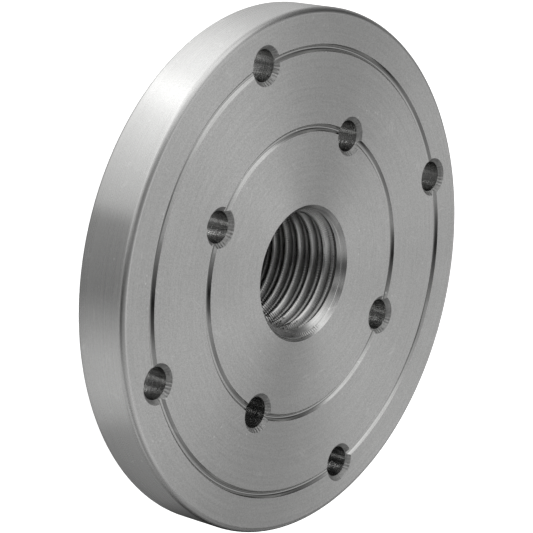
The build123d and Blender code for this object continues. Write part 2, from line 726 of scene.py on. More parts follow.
@dataclass
class Disc:
    """The disc: working face, rim with its rounded edges, and back.

    Attributes:
        clear: how far outside the holes of a ring the face has a row of points of its own.
        back_clear: the same behind.
        face_steps: rows round the working face's edge.
        back_steps: rows round the back's edge.
    """

    radius: float = 50.0
    face_z: float = 26.6
    back_z: float = 16.0
    face_round: float = 1.2
    back_round: float = 0.7
    clear: float = 0.6
    back_clear: float = 0.35
    face_steps: int = 12
    back_steps: int = 8

    def front(self, outer: BoltRing, inner: BoltRing, mouth_radius: float) -> list[Skin]:
        """The three zones of the working face, each between two borders.

        Args:
            outer: the outer ring of holes.
            inner: the inner ring of holes.
            mouth_radius: radius of the bore's mouth.

        Returns:
            Their skins.
        """
        r1, a1 = outer.border(1)
        r2, a2 = outer.border(-1)
        r3, a3 = inner.border(1)
        r4, a4 = inner.border(-1)
        reach = outer.mouth + self.clear
        zones = (
            [(self.radius - self.face_round, a1), (outer.radius + reach, a1), (r1, a1)],
            [(r2, a2), (outer.radius - reach, a2), (inner.radius + reach, a3), (r3, a3)],
            [(r4, a4), (inner.radius - reach, a4), (mouth_radius, circle(COLUMNS))],
        )
        return [self.flat(zone, self.face_z, 90) for zone in zones]

    def back(self, outer: BoltRing, inner: BoltRing, hub: Hub) -> list[Skin]:
        """The three zones of the back.

        Args:
            outer: the outer ring of holes.
            inner: the inner ring of holes.
            hub: the hub, whose fillet bounds the back.

        Returns:
            Their skins.
        """
        rim = outer.border(1)[1]
        r1, a1 = outer.border(1, back=True)
        r2, a2 = outer.border(-1, back=True)
        r3, a3 = inner.border(1, back=True)
        r4, a4 = inner.border(-1, back=True)
        reach = outer.hole_radius + outer.back_chamfer + self.back_clear
        zones = (
            [(self.radius - self.back_round, rim), (outer.radius + reach, a1), (r1, a1)],
            [(r2, a2), (outer.radius - reach, a2), (inner.radius + reach, a3), (r3, a3)],
            [(r4, a4), (inner.radius - reach, a4), (hub.radius + hub.root_radius, hub.columns())],
        )
        return [self.flat(zone, self.back_z, -90) for zone in zones]

    @staticmethod
    def flat(rows: list[tuple[Numbers, np.ndarray]], z: float, lean: float) -> Skin:
        """A flat zone whose points go straight from row to row, in radius and turn.

        Args:
            rows: radius and angles of each row.
            z: height.
            lean: 90 for a face that looks up, -90 for one that looks down.

        Returns:
            The zone's skin.
        """
        radius = np.stack([np.broadcast_to(np.asarray(r, float), (COLUMNS,)) for r, _ in rows])
        angle = np.stack([a for _, a in rows])
        return turned(radius, angle, z, lean, Cut.FACED)

    def rim(self, angle: np.ndarray) -> Skin:
        """The rim: a quarter round at each edge and a straight wall, its points a rounding times
        (1 - cos) in from the wall and (1 - sin) in from the face.

        Args:
            angle: the columns' angles.

        Returns:
            The rim's skin.
        """
        top = np.radians(np.linspace(90, 0, self.face_steps + 1))
        low = np.radians(np.linspace(0, -90, self.back_steps + 1))
        r = np.concatenate([self.radius - self.face_round * (1 - np.cos(top)),
                            self.radius - self.back_round * (1 - np.cos(low))])
        z = np.concatenate([self.face_z - self.face_round * (1 - np.sin(top)),
                            self.back_z + self.back_round * (1 + np.sin(low))])
        lean = np.degrees(np.concatenate([top, low]))
        return turned(r[:, None], angle, z[:, None], lean[:, None], Cut.RIM)


# Finishes

# Colours on the metal: rubbed places, painted shade in the thread's roots, and dried, oily dust.
RUBBED = "#d6d6d5"
ROOT_SHADE_COLOUR = "#262524"
DRIED_OIL = "#2e2b28"

# How many cells of each pattern go to a millimetre. The steel's own grains are a few hundredths of
# a millimetre wide, too fine to show, so they are drawn at a quarter of a millimetre. Dust and
# specks are drawn coarser than real as well, at 0.7 and 1.8 mm, and scratches at 1.2 mm apart. The
# patches in which they lie, 4 to 13 mm wide, are as large as the real ones.
GRAINS = 4.2
DUST = 1.5
SPECKS = 0.56
SPECK_PATCHES = 0.075
SCRATCH_PATCHES = 0.26
GLOSS_PATCHES = 0.11
# The same along a scratch and, twice, across it.
SCRATCHES = (0.03, 0.8, 0.8)

# Ways in which scratches run, in degrees, and how much weaker they are than specks.
SCRATCH_WAYS = (20.0, 100.0, 152.0)
SCRATCH_STRENGTH = 0.4

# Depth and half width in millimetres of the ring that a tool leaves where it dwells.
RING_DEPTH = 0.03
RING_HALF = 0.12

# Where in the bore dried, oily dust lies thickest, and the distances over which it thins out.
SOILED_PLACE = (-10.0 * MM, 4.7 * MM, 19.5 * MM)
SOILED_REACH = (3 * MM, 9 * MM)

# Painted shade in the thread: distances from the axis between which it darkens towards the root,
# heights between which it gets weaker towards the mouth, and the share of it that is left there.
ROOT_SHADE_RADII = (11.2 * MM, 12.5 * MM)
ROOT_SHADE_FADE_HEIGHTS = (23 * MM, 25.5 * MM)
ROOT_SHADE_AT_MOUTH = 0.3


def linear(colour: str) -> tuple[float, float, float, float]:
    """The linear values of an sRGB colour: v / 12.92 where it is dark, and otherwise
    (v + 0.055) / 1.055 to the power 2.4.

    Args:
        colour: six hex digits after a #.

    Returns:
        Red, green, blue and 1.
    """
    parts = [int(colour[k:k + 2], 16) / 255 for k in (1, 3, 5)]
    return (*(c / 12.92 if c <= 0.04045 else ((c + 0.055) / 1.055) ** 2.4 for c in parts), 1.0)


def bare_tree(owner: bpy.types.Material | bpy.types.World) -> Tree:
    """Gives a material or a world a node tree with nothing in it.

    Args:
        owner: the material or world.

    Returns:
        Its tree.
    """
    owner.use_nodes = True
    owner.node_tree.nodes.clear()
    return owner.node_tree


def add(tree: Tree, kind: str, links: dict | None = None, **settings) -> Node:
    """Adds a node.

    Args:
        tree: the tree that gets it.
        kind: the node's type.
        links: what goes into each input, by name or number: a node, whose first output is taken,
            an output, or a value.
        settings: the node's own properties.

    Returns:
        The node.
    """
    made = tree.nodes.new(kind)
    for name, value in settings.items():
        setattr(made, name, value)
    for key, value in (links or {}).items():
        if isinstance(value, Node):
            value = value.outputs[0]
        if isinstance(value, Socket):
            tree.links.new(value, made.inputs[key])
        else:
            made.inputs[key].default_value = value
    return made


@dataclass(frozen=True)
class CutSteel:
    """Bare mild steel as a cutting tool leaves it: a bright grey metal whose tool marks all run
    one way, so that highlights spread across them.

    Attributes:
        name: the finish's name.
        tone: sRGB colour of the clean metal.
        shade: sRGB colour of its darker streaks.
        roughness: how far highlights spread.
        spread: how much further they spread across the marks than along them, from 0 to 1.
        pitch: distance between tool marks in millimetres, drawn coarser than the real feed.
        drift: how fast the marks change along their length; small numbers give long streaks.
        relief: height of the marks in millimetres.
        arcs: height of the short arcs between the marks, in millimetres.
        chatter: ripples in one turn, left where the tool shook.
        ripple: their height in millimetres.
        cloud: how much wide patches differ in gloss.
        wear: depth of scratches and specks in millimetres.
        ring: way across the marks of one deeper ring, in millimetres; none where it is 0.
        soil: share of dried, oily dust in the colour, where it lies thickest.
        painted_root_shade: share of painted shade in the colour at the thread's root; none at its crest.
        grit: how much fine grains differ in colour.
    """

    name: str
    tone: str = "#c3c3c2"
    shade: str = "#a9a9a8"
    roughness: float = 0.3
    spread: float = 0.5
    pitch: float = 0.45
    drift: float = 2.0
    relief: float = 0.004
    arcs: float = 0.001
    chatter: int = 0
    ripple: float = 0.0
    cloud: float = 0.1
    wear: float = 0.006
    ring: float = 0.0
    soil: float = 0.0
    painted_root_shade: float = 0.0
    grit: float = 0.35

    @staticmethod
    def streaks(tree: Tree, drift: float, pitch: float) -> Node:
        """Adds noise that is drawn out along the tool's path.

        Args:
            tree: the tree.
            drift: changes in a turn.
            pitch: distance between marks in millimetres.

        Returns:
            Its value.
        """
        mark = add(tree, "ShaderNodeAttribute", attribute_name="mark")
        scaled = add(tree, "ShaderNodeVectorMath", {
            0: mark.outputs["Vector"], 1: (drift, drift, 1 / pitch)}, operation="MULTIPLY")
        return add(tree, "ShaderNodeTexNoise", {
            "Vector": scaled, "Scale": 1.0, "Detail": 3.0, "Roughness": 0.6})

    def shake(self, tree: Tree) -> Node:
        """Adds ripples across the tool's path: the sine of the turn times their number, kept only
        in patches about 2.4 mm wide.

        Args:
            tree: the tree.

        Returns:
            Their height, from -1 to 1.
        """
        mark = add(tree, "ShaderNodeAttribute", attribute_name="mark")
        parts = add(tree, "ShaderNodeSeparateXYZ", {0: mark.outputs["Vector"]})
        angle = add(tree, "ShaderNodeMath", {0: parts.outputs[1], 1: parts.outputs[0]},
                    operation="ARCTAN2")
        wave = add(tree, "ShaderNodeMath", {0: angle, 1: float(self.chatter)}, operation="MULTIPLY")
        wave = add(tree, "ShaderNodeMath", {0: wave}, operation="SINE")
        patch = add(tree, "ShaderNodeMapRange", {0: self.streaks(tree, 1.6, 2.4), 1: 0.4, 2: 0.54})
        return add(tree, "ShaderNodeMath", {0: wave, 1: patch}, operation="MULTIPLY")

    @staticmethod
    def in_patches(tree: Tree, pattern: Node, place: Node | Socket, cells: float, detail: float,
                   limits: tuple[float, float]) -> Node:
        """Keeps a pattern only where a coarser noise is high.

        Args:
            tree: the tree.
            pattern: the pattern.
            place: place on the piece, in metres.
            cells: cells of the coarser noise to a millimetre.
            detail: how much finer noise it has in it.
            limits: its values at which the pattern starts and is full.

        Returns:
            The pattern times a share from 0 to 1.
        """
        some = add(tree, "ShaderNodeTexNoise", {"Vector": place, "Scale": cells / MM, "Detail": detail})
        kept = add(tree, "ShaderNodeMapRange", {0: some, 1: limits[0], 2: limits[1]})
        return add(tree, "ShaderNodeMath", {0: pattern, 1: kept}, operation="MULTIPLY")

    def scratches(self, tree: Tree, place: Socket, turn: float) -> Node:
        """Adds thin scratches that mostly run one way: the level lines of a noise drawn out that
        way, where it is within 0.025 of a half.

        Args:
            tree: the tree.
            place: place on the piece, in metres.
            turn: the way they run, in degrees.

        Returns:
            1 in a scratch, 0 beside it.
        """
        way = add(tree, "ShaderNodeVectorRotate", {"Vector": place, "Angle": math.radians(turn)})
        drawn = add(tree, "ShaderNodeVectorMath", {
            0: way, 1: tuple(cells / MM for cells in SCRATCHES)}, operation="MULTIPLY")
        field = add(tree, "ShaderNodeTexNoise", {"Vector": drawn, "Scale": 1.0, "Detail": 0.0})
        off = add(tree, "ShaderNodeMath", {0: field, 1: 0.5}, operation="SUBTRACT")
        off = add(tree, "ShaderNodeMath", {0: off}, operation="ABSOLUTE")
        line = add(tree, "ShaderNodeMapRange", {0: off, 1: 0.025, 2: 0.0})
        return self.in_patches(tree, line, way, SCRATCH_PATCHES, 0.0, (0.64, 0.8))

    def specks(self, tree: Tree, place: Socket) -> Node:
        """Adds small bright specks where swarf rubbed: spots round scattered points.

        Args:
            tree: the tree.
            place: place on the piece, in metres.

        Returns:
            1 in a speck, 0 outside.
        """
        cells = add(tree, "ShaderNodeTexVoronoi", {
            "Vector": place, "Scale": SPECKS / MM, "Randomness": 1.0})
        spot = add(tree, "ShaderNodeMapRange", {0: cells.outputs["Distance"], 1: 0.16, 2: 0.04},
                   interpolation_type="SMOOTHSTEP")
        return self.in_patches(tree, spot, place, SPECK_PATCHES, 1.0, (0.54, 0.64))

    def rings(self, tree: Tree) -> Node:
        """Adds the ring that the tool left where it dwelt: it falls off with the distance from the
        ring's middle.

        Args:
            tree: the tree.

        Returns:
            1 on the ring, 0 beside it.
        """
        mark = add(tree, "ShaderNodeAttribute", attribute_name="mark")
        parts = add(tree, "ShaderNodeSeparateXYZ", {0: mark.outputs["Vector"]})
        off = add(tree, "ShaderNodeMath", {0: parts.outputs[2], 1: self.ring}, operation="SUBTRACT")
        off = add(tree, "ShaderNodeMath", {0: off}, operation="ABSOLUTE")
        return add(tree, "ShaderNodeMapRange", {0: off, 1: RING_HALF, 2: 0.0},
                   interpolation_type="SMOOTHSTEP")

    def grime(self, tree: Tree, place: Socket) -> Node:
        """Adds specks of dried, oily dust, thick near one place in the bore and thin elsewhere:
        a fine noise passes a limit that rises with the distance from there.

        Args:
            tree: the tree.
            place: place on the piece, in metres.

        Returns:
            Their share in the colour.
        """
        fine = add(tree, "ShaderNodeTexNoise", {"Vector": place, "Scale": DUST / MM, "Detail": 3.0})
        away = add(tree, "ShaderNodeVectorMath", {0: place, 1: SOILED_PLACE}, operation="DISTANCE")
        limit = add(tree, "ShaderNodeMapRange", {
            0: away.outputs["Value"], 1: SOILED_REACH[0], 2: SOILED_REACH[1], 3: 0.5, 4: 0.68})
        full = add(tree, "ShaderNodeMath", {0: limit, 1: 0.1}, operation="ADD")
        return add(tree, "ShaderNodeMapRange", {0: fine, 1: limit, 2: full, 4: self.soil})

    def root_shade_share(self, tree: Tree, place: Socket) -> Node:
        """Adds painted shade that darkens towards the thread's root, with the distance from the axis,
        and is weaker near the mouth.

        Args:
            tree: the tree.
            place: place on the piece, in metres.

        Returns:
            Its share in the colour.
        """
        level = add(tree, "ShaderNodeVectorMath", {0: place, 1: (1.0, 1.0, 0.0)}, operation="MULTIPLY")
        reach = add(tree, "ShaderNodeVectorMath", {0: level}, operation="LENGTH")
        toward_root = add(tree, "ShaderNodeMapRange", {
            0: reach.outputs["Value"], 1: ROOT_SHADE_RADII[0], 2: ROOT_SHADE_RADII[1], 4: self.painted_root_shade})
        parts = add(tree, "ShaderNodeSeparateXYZ", {0: place})
        near_mouth = add(tree, "ShaderNodeMapRange", {
            0: parts.outputs[2], 1: ROOT_SHADE_FADE_HEIGHTS[0], 2: ROOT_SHADE_FADE_HEIGHTS[1], 3: 1.0, 4: ROOT_SHADE_AT_MOUTH})
        return add(tree, "ShaderNodeMath", {0: toward_root, 1: near_mouth}, operation="MULTIPLY")

    def material(self) -> bpy.types.Material:
        """Builds the finish: marks, arcs, ripples, scratches and specks move height, gloss and
        colour together.

        Returns:
            The material.
        """
        made = bpy.data.materials.new(self.name)
        tree = bare_tree(made)
        place = add(tree, "ShaderNodeTexCoord").outputs["Object"]
        across = add(tree, "ShaderNodeAttribute", attribute_name="across")
        streak = self.streaks(tree, self.drift, self.pitch)
        # The arcs between the marks are finer than the marks and change faster along their length.
        arc = self.streaks(tree, 5 * self.drift, 0.55 * self.pitch)
        height = add(tree, "ShaderNodeMath", {0: streak, 1: self.relief}, operation="MULTIPLY")
        height = add(tree, "ShaderNodeMath", {0: arc, 1: self.arcs, 2: height},
                     operation="MULTIPLY_ADD")
        if self.chatter:
            height = add(tree, "ShaderNodeMath", {0: self.shake(tree), 1: self.ripple, 2: height},
                         operation="MULTIPLY_ADD")
        if self.ring:
            height = add(tree, "ShaderNodeMath", {0: self.rings(tree), 1: -RING_DEPTH, 2: height},
                         operation="MULTIPLY_ADD")
        scored = self.scratches(tree, place, SCRATCH_WAYS[0])
        for way in SCRATCH_WAYS[1:]:
            scored = add(tree, "ShaderNodeMath", {0: scored, 1: self.scratches(tree, place, way)},
                         operation="MAXIMUM")
        scored = add(tree, "ShaderNodeMath", {0: scored, 1: SCRATCH_STRENGTH}, operation="MULTIPLY")
        speck = self.specks(tree, place)
        worn = add(tree, "ShaderNodeMath", {0: scored, 1: speck}, operation="MAXIMUM")
        height = add(tree, "ShaderNodeMath", {0: worn, 1: -self.wear, 2: height},
                     operation="MULTIPLY_ADD")
        bump = add(tree, "ShaderNodeBump", {"Height": height, "Distance": MM, "Strength": 1.0})
        patch = add(tree, "ShaderNodeTexNoise", {
            "Vector": place, "Scale": GLOSS_PATCHES / MM, "Detail": 2.0})
        mixed = add(tree, "ShaderNodeMath", {0: patch, 1: self.cloud * 2, 2: streak},
                    operation="MULTIPLY_ADD")
        rough = add(tree, "ShaderNodeMapRange", {
            0: mixed, 1: 0.3, 2: 0.7 + 2 * self.cloud,
            3: self.roughness * 0.85, 4: self.roughness * 1.15})
        grain = add(tree, "ShaderNodeTexNoise", {"Vector": place, "Scale": GRAINS / MM, "Detail": 1.0})
        speckled = add(tree, "ShaderNodeMix", {0: self.grit, 2: streak, 3: grain})
        clear = add(tree, "ShaderNodeMapRange", {0: speckled, 1: 0.3, 2: 0.7})
        tone = add(tree, "ShaderNodeMix", {
            0: clear, 6: linear(self.shade), 7: linear(self.tone)}, data_type="RGBA")
        for rubbed in (scored, speck):
            tone = add(tree, "ShaderNodeMix", {
                0: rubbed, 6: tone.outputs[2], 7: linear(RUBBED)}, data_type="RGBA")
        # Painted shade: the colour darkens towards the thread's roots, less near the mouth.
        if self.painted_root_shade:
            tone = add(tree, "ShaderNodeMix", {
                0: self.root_shade_share(tree, place), 6: tone.outputs[2], 7: linear(ROOT_SHADE_COLOUR)}, data_type="RGBA")
        dull = add(tree, "ShaderNodeMix", {
            0: self.grime(tree, place), 6: tone.outputs[2], 7: linear(DRIED_OIL)}, data_type="RGBA")
        metal = add(tree, "ShaderNodeBsdfPrincipled", {
            "Base Color": dull.outputs[2], "Metallic": 1.0, "Roughness": rough,
            "Anisotropic": self.spread, "Tangent": across.outputs["Vector"], "Normal": bump})
        add(tree, "ShaderNodeOutputMaterial", {"Surface": metal})
        return made


FINISHES = {
    # Faced in the lathe with a fine feed, then handled: even grey with faint rings, which a light
    # draws out into a soft fan through the middle, and a few rubbed specks.
    Cut.FACED: CutSteel("faced steel", tone="#c8c8c7", shade="#a8a8a7", roughness=0.36, spread=0.85,
                        relief=0.002, arcs=0.004, cloud=0.3, wear=0.008, grit=0.65),
    # Turned along its edge with a sharp tool: smoother than the face, so that the room and the
    # glowing cards, painted reflections, show in it as wide bands of light and dark with fine lines round
    # the rim.
    Cut.RIM: CutSteel("turned steel", shade="#b2b2b1", roughness=0.28, spread=0.6, pitch=0.3,
                      drift=1.5, wear=0.0, relief=0.002, grit=0.5),
    # Cut in one plunge of a pointed tool, which rubs its walls smooth: crisp glints along a groove
    # and dark walls where it turns away from the light.
    Cut.SCRIBED: CutSteel("scribed steel", tone="#b8b8b7", shade="#9a9a99", roughness=0.09,
                          spread=0.3, pitch=0.25, relief=0.002, cloud=0.0, wear=0.0),
    # Drilled, which leaves rough rings down the wall: they break up the light from behind, the painted
    # glints from the glowing slips.
    Cut.DRILLED: CutSteel("drilled steel", tone="#c8c8c7", shade="#8c8c8b", roughness=0.25,
                          spread=0.85, pitch=0.3, relief=0.06, arcs=0.01),
    # Countersunk by a tool that shook: dull, with short ridges across the chamfer here and there.
    Cut.COUNTERSUNK: CutSteel("countersunk steel", tone="#b8b8b7", shade="#858584", roughness=0.55,
                              spread=0.2, chatter=32, ripple=0.05, relief=0.02, wear=0.02),
    # Chamfered with a slow feed: bright, with plain rings and one deeper one where the tool dwelt.
    Cut.MOUTH: CutSteel("chamfered steel", roughness=0.22, spread=0.7, pitch=0.4, drift=1.0,
                        relief=0.016, ring=17.39),
    # Threaded in many passes: bright crests, short ripples where the tool shook, and painted shade
    # that makes the roots dark.
    Cut.THREADED: CutSteel("threaded steel", tone="#cececd", shade="#b0b0af", roughness=0.28,
                           spread=0.6, chatter=150, ripple=0.012, relief=0.008, soil=0.92,
                           painted_root_shade=0.46),
    # Bored to size where the spindle's collar fits: plain fine rings.
    Cut.BORED: CutSteel("bored steel", roughness=0.3),
    # Milled flat on both sides of the hub: straight marks along the flat.
    Cut.MILLED: CutSteel("milled steel", roughness=0.35),
}


# The piece


@dataclass
class Faceplate:
    """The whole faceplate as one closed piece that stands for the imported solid."""

    outer_radius: float = 42.5
    inner_radius: float = 27.65

    def skins(self) -> list[Skin]:
        """Makes the skins of every surface.

        Returns:
            The skins of disc, hub, holes, grooves and bore.
        """
        outer = BoltRing(self.outer_radius, 0.0, self.inner_radius)
        inner = BoltRing(self.inner_radius, 45.0, self.outer_radius)
        disc, hub, bore = Disc(), Hub(), Bore()
        made = disc.front(outer, inner, bore.mouth_radius)
        made += disc.back(outer, inner, hub)
        made.append(disc.rim(outer.border(1)[1]))
        for ring in (outer, inner):
            made += ring.holes() + ring.groove()
        made += hub.skins(bore.register_radius + bore.register_chamfer)
        made += bore.skins()
        return made

    def build(self) -> bpy.types.Object:
        """Welds the skins into one mesh with its own corner normals, and dresses it.

        Returns:
            The piece.
        """
        skins = self.skins()
        corners = np.concatenate([s.corners for s in skins])
        cuts = np.concatenate([np.full(len(s.corners), s.cut.value) for s in skins])
        flat = corners[:, :, :3].reshape(-1, 3)
        steps = np.round(flat * WELD_STEPS + WELD_SHIFT).astype(np.int64)
        _, first, index = np.unique(steps, axis=0, return_index=True, return_inverse=True)
        faces = index.reshape(-1, 3)
        real = ((faces[:, 0] != faces[:, 1]) & (faces[:, 1] != faces[:, 2])
                & (faces[:, 2] != faces[:, 0]))
        faces, corners, cuts = faces[real], corners[real], cuts[real]
        self.report(faces)
        mesh = bpy.data.meshes.new("faceplate_skin")
        mesh.from_pydata((flat[first] * MM).tolist(), [], faces.tolist())
        mesh.polygons.foreach_set("material_index", cuts.astype(np.int32))
        mesh.polygons.foreach_set("use_smooth", np.ones(len(faces), bool))
        across = np.cross(corners[:, :, 3:6], corners[:, :, 6:9])
        for name, vector in (("across", across), ("mark", corners[:, :, 9:12])):
            layer = mesh.attributes.new(name, "FLOAT_VECTOR", "CORNER")
            layer.data.foreach_set("vector", vector.astype(np.float32).ravel())
        mesh.normals_split_custom_set(corners[:, :, 3:6].reshape(-1, 3).tolist())
        for cut in Cut:
            mesh.materials.append(FINISHES[cut].material())
        mesh.update()
        piece = bpy.data.objects.new("faceplate_skin", mesh)
        bpy.context.scene.collection.objects.link(piece)
        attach(piece, "root")
        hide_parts("faceplate")
        return piece

    @staticmethod
    def report(faces: np.ndarray) -> None:
        """Logs how many triangles there are, and how many edges haven't exactly two of them.

        Args:
            faces: corner numbers of the triangles.
        """
        edges = np.sort(np.concatenate([faces[:, [0, 1]], faces[:, [1, 2]], faces[:, [2, 0]]]), axis=1)
        _, count = np.unique(edges, axis=0, return_counts=True)
        log.info("faceplate: %d triangles, %d open edges", len(faces), int((count != 2).sum()))


# Studio


@dataclass(frozen=True)
class Dial:
    """Brightness round the compass, as seen from the plate.

    Attributes:
        stops: angle in degrees from the direction away from the camera, counter-clockwise seen
            from above, and the brightness there.
    """

    stops: tuple[tuple[float, float], ...]

    def ramp(self, tree: Tree, turn: Node) -> Node:
        """Adds the dial to a tree.

        Args:
            tree: the tree.
            turn: the angle as a share of a turn, a half being the direction away from the camera.

        Returns:
            Its brightness.
        """
        made = add(tree, "ShaderNodeValToRGB", {0: turn})
        scale = made.color_ramp
        for _ in range(len(self.stops) - 2):
            scale.elements.new(0.5)
        top = max(value for _, value in self.stops)
        for element, (angle, value) in zip(scale.elements, self.stops):
            element.position = angle / 360 + 0.5
            element.color = (value / top,) * 3 + (1.0,)
        return add(tree, "ShaderNodeMath", {0: made, 1: top}, operation="MULTIPLY")


# The tent's cloth, from the floor up. The rim and the walls of holes and grooves show its lower
# parts, and the working face shows the walls and the eaves.
SKIRTING = Dial((
    (-180, .9), (-160, .5), (-120, .9), (-100, .8), (-80, .4), (-60, .05), (-40, .2), (0, .7),
    (20, .35), (37, .15), (60, .15), (80, .6), (100, 1.4), (120, 1.85), (140, 1.8), (160, 1.4),
    (180, .9)))
WALLS = Dial((
    (-180, .45), (-165, .2), (-150, .02), (-137, .15), (-126, .5), (-90, .3), (-75, .38),
    (-55, .4), (-40, .35), (-25, .15), (-15, .2), (0, .9), (15, .4), (30, .1), (45, .05), (58, .22),
    (71, .38), (80, 1.0), (86, 1.4), (98, 1.5), (112, 1.35), (124, 1.3), (140, .9), (162, .8),
    (180, .6)))
EAVES = Dial((
    (-180, .45), (-166, .25), (-155, .12), (-142, .14), (-126, .45), (-90, .7), (-40, .9),
    (0, 1.0), (40, .9), (60, .6), (78, .8), (92, 1.45), (104, 1.2), (118, .7), (144, .46),
    (150, .34), (156, .2), (163, .13), (170, .35), (180, .45)))
TOP = Dial(((-180, .25), (-60, .35), (60, .35), (180, .25)))

# The upward part of a direction at which each next part of the tent starts to show and at which it
# has taken over.
TIERS = ((0.15, 0.35, WALLS), (0.6, 0.75, EAVES), (0.88, 0.96, TOP))

# Glow of the cards round the plate, painted reflections in the rim, and of the ones under its disc, a
# painted shadow.
CARD_GLOW = Dial((
    (-180, .42), (-163, .33), (-154, .55), (-146, .75), (-135, .8), (-127, .7), (-120, .46),
    (-90, .3), (-80, .12), (-70, .0), (-20, .06), (20, .4), (45, .5), (68, .35), (82, .75), (92, .85),
    (100, 1.0), (120, 1.65), (129, 1.8), (137, 2.3), (146, 1.6), (160, 1.15), (173, .85),
    (177, .42), (180, .42)))
UNDERSIDE = Dial((
    (-180, .2), (-138, .18), (-118, .0), (-40, .0), (-22, .38), (70, .42), (105, .25), (180, .2)))

# Glowing white slips under the bolt holes, painted glints in the holes' walls: their brightness, and
# the distance from the axis in millimetres and the angle round the compass of each.
SLIPS = {
    "bright glint slips": (4.5, ((33, 156), (29, 6), (37, -153), (34, -50), (38, 84))),
    "dim glint slips": (1.0, ((58, 112), (57, 50), (33, -172), (35, 140), (32, 28), (47, 82))),
}

# Kinds of ray that don't see the cards and slips: only reflections do.
UNSEEN = ("camera", "diffuse", "transmission", "volume_scatter", "shadow")


@dataclass
class Studio:
    """Pale floor, soft light and the camera.

    Attributes:
        camera_place: the camera's place.
        camera_right: direction of the picture's right side.
        camera_up: direction of its upper side.
        lens: focal length for a sensor 36 mm wide.
        away: the direction away from the camera, in degrees round the plate's axis.
        floor_size: width of the floor.
        cards_z: height of the cards over the floor.
        cards_inner: radius of the black card under the bore, painted shade.
        cards_outer: outer radius of the cards.
        bore_edge: radii between which the black card turns into the ones under the disc, a painted shadow.
        disc_edge: radii between which those turn into the ones round the plate, where the painted shadow
            ends.
        far: radii between which the cards get a little darker.
        far_share: share of their brightness that is left there.
        fade: radii between which they fade into the floor.
        cards_steps: points round the cards.
        slip_radius: radius of a slip of card.
        slip_z: height of the slips over the floor.
        slip_steps: points round a slip.
    """

    camera_place: tuple[float, float, float] = (186.317, 263.901, 268.259)
    camera_right: tuple[float, float, float] = (-0.167368, -0.614757, 0.770755)
    camera_up: tuple[float, float, float] = (0.874083, -0.454148, -0.172425)
    lens: float = 145.09
    away: float = 234.78
    floor_size: float = 1600.0
    cards_z: float = 0.05
    cards_inner: float = 23.0
    cards_outer: float = 700.0
    bore_edge: tuple[float, float] = (22.5, 24.5)
    disc_edge: tuple[float, float] = (48.0, 66.0)
    far: tuple[float, float] = (100.0, 200.0)
    far_share: float = 0.8
    fade: tuple[float, float] = (600.0, 699.0)
    cards_steps: int = 128
    slip_radius: float = 5.0
    slip_z: float = 0.1
    slip_steps: int = 24

    def camera(self) -> bpy.types.Object:
        """Makes the scene's camera, which looks along minus the cross product of its right and up
        directions.

        Returns:
            The camera.
        """
        data = bpy.data.cameras.new("camera")
        data.sensor_width, data.lens = 36.0, self.lens
        data.clip_start, data.clip_end = 0.01, 10.0
        made = bpy.data.objects.new("camera", data)
        right, up = Vector(self.camera_right), Vector(self.camera_up)
        back = right.cross(up)
        turn = Matrix((right, up, back)).transposed().to_4x4()
        made.matrix_world = Matrix.Translation(Vector(self.camera_place) * MM) @ turn
        bpy.context.scene.collection.objects.link(made)
        bpy.context.scene.camera = made
        return made

    @staticmethod
    def sheet(name: str, points: list, faces: list, paper: bpy.types.Material) -> bpy.types.Object:
        """Puts a flat sheet into the scene.

        Args:
            name: its name.
            points: its points in metres.
            faces: the points of each face.
            paper: its material.

        Returns:
            The sheet.
        """
        mesh = bpy.data.meshes.new(name)
        mesh.from_pydata(points, [], faces)
        mesh.materials.append(paper)
        made = bpy.data.objects.new(name, mesh)
        bpy.context.scene.collection.objects.link(made)
        return made

    @staticmethod
    def band(tree: Tree, reach: Socket, radii: tuple[float, float], level: float = 1.0,
             start: float = 0.0) -> Node:
        """Adds a value that goes straight from one level to another between two radii.

        Args:
            tree: the tree.
            reach: distance from the axis, in metres.
            radii: the two radii, in millimetres.
            level: the level from the second radius on.
            start: the level up to the first radius.

        Returns:
            The value.
        """
        low, high = (radius * MM for radius in radii)
        return add(tree, "ShaderNodeMapRange", {0: reach, 1: low, 2: high, 3: start, 4: level})

    def compass(self, tree: Tree, vector: Socket) -> tuple[Node, Socket]:
        """Adds nodes that read a direction's angle round the compass.

        The angle is atan2(y, x) less the direction away from the camera, as a share of a turn, plus
        a half, and its fraction is kept.

        Args:
            tree: the tree.
            vector: the direction, or a place seen from the plate's axis.

        Returns:
            The angle as a share of a turn (a half is away from the camera), and the upward part.
        """
        parts = add(tree, "ShaderNodeSeparateXYZ", {0: vector})
        angle = add(tree, "ShaderNodeMath", {0: parts.outputs[1], 1: parts.outputs[0]},
                    operation="ARCTAN2")
        share = add(tree, "ShaderNodeMath", {
            0: angle, 1: 1 / (2 * math.pi), 2: 1.5 - self.away / 360}, operation="MULTIPLY_ADD")
        return add(tree, "ShaderNodeMath", {0: share}, operation="FRACT"), parts.outputs[2]

    def floor(self) -> bpy.types.Object:
        """Makes the floor: white to the eye and in reflections, and it still takes a shadow.

        Returns:
            The floor.
        """
        made = bpy.data.materials.new("white paper")
        tree = bare_tree(made)
        seen = add(tree, "ShaderNodeLightPath")
        eye = add(tree, "ShaderNodeMath", {
            0: seen.outputs["Is Camera Ray"], 1: seen.outputs["Is Glossy Ray"]}, operation="MAXIMUM")
        eye = add(tree, "ShaderNodeMath", {0: eye, 1: seen.outputs["Is Transmission Ray"]},
                  operation="MAXIMUM")
        glow = add(tree, "ShaderNodeEmission", {"Color": (1, 1, 1, 1), "Strength": eye})
        paper = add(tree, "ShaderNodeBsdfDiffuse", {"Color": linear("#e6e6e6")})
        both = add(tree, "ShaderNodeAddShader", {0: glow, 1: paper})
        add(tree, "ShaderNodeOutputMaterial", {"Surface": both})
        half = self.floor_size / 2 * MM
        corners = [(-half, -half, 0), (half, -half, 0), (half, half, 0), (-half, half, 0)]
        floor = self.sheet("floor", corners, [(0, 1, 2, 3)], made)
        return floor

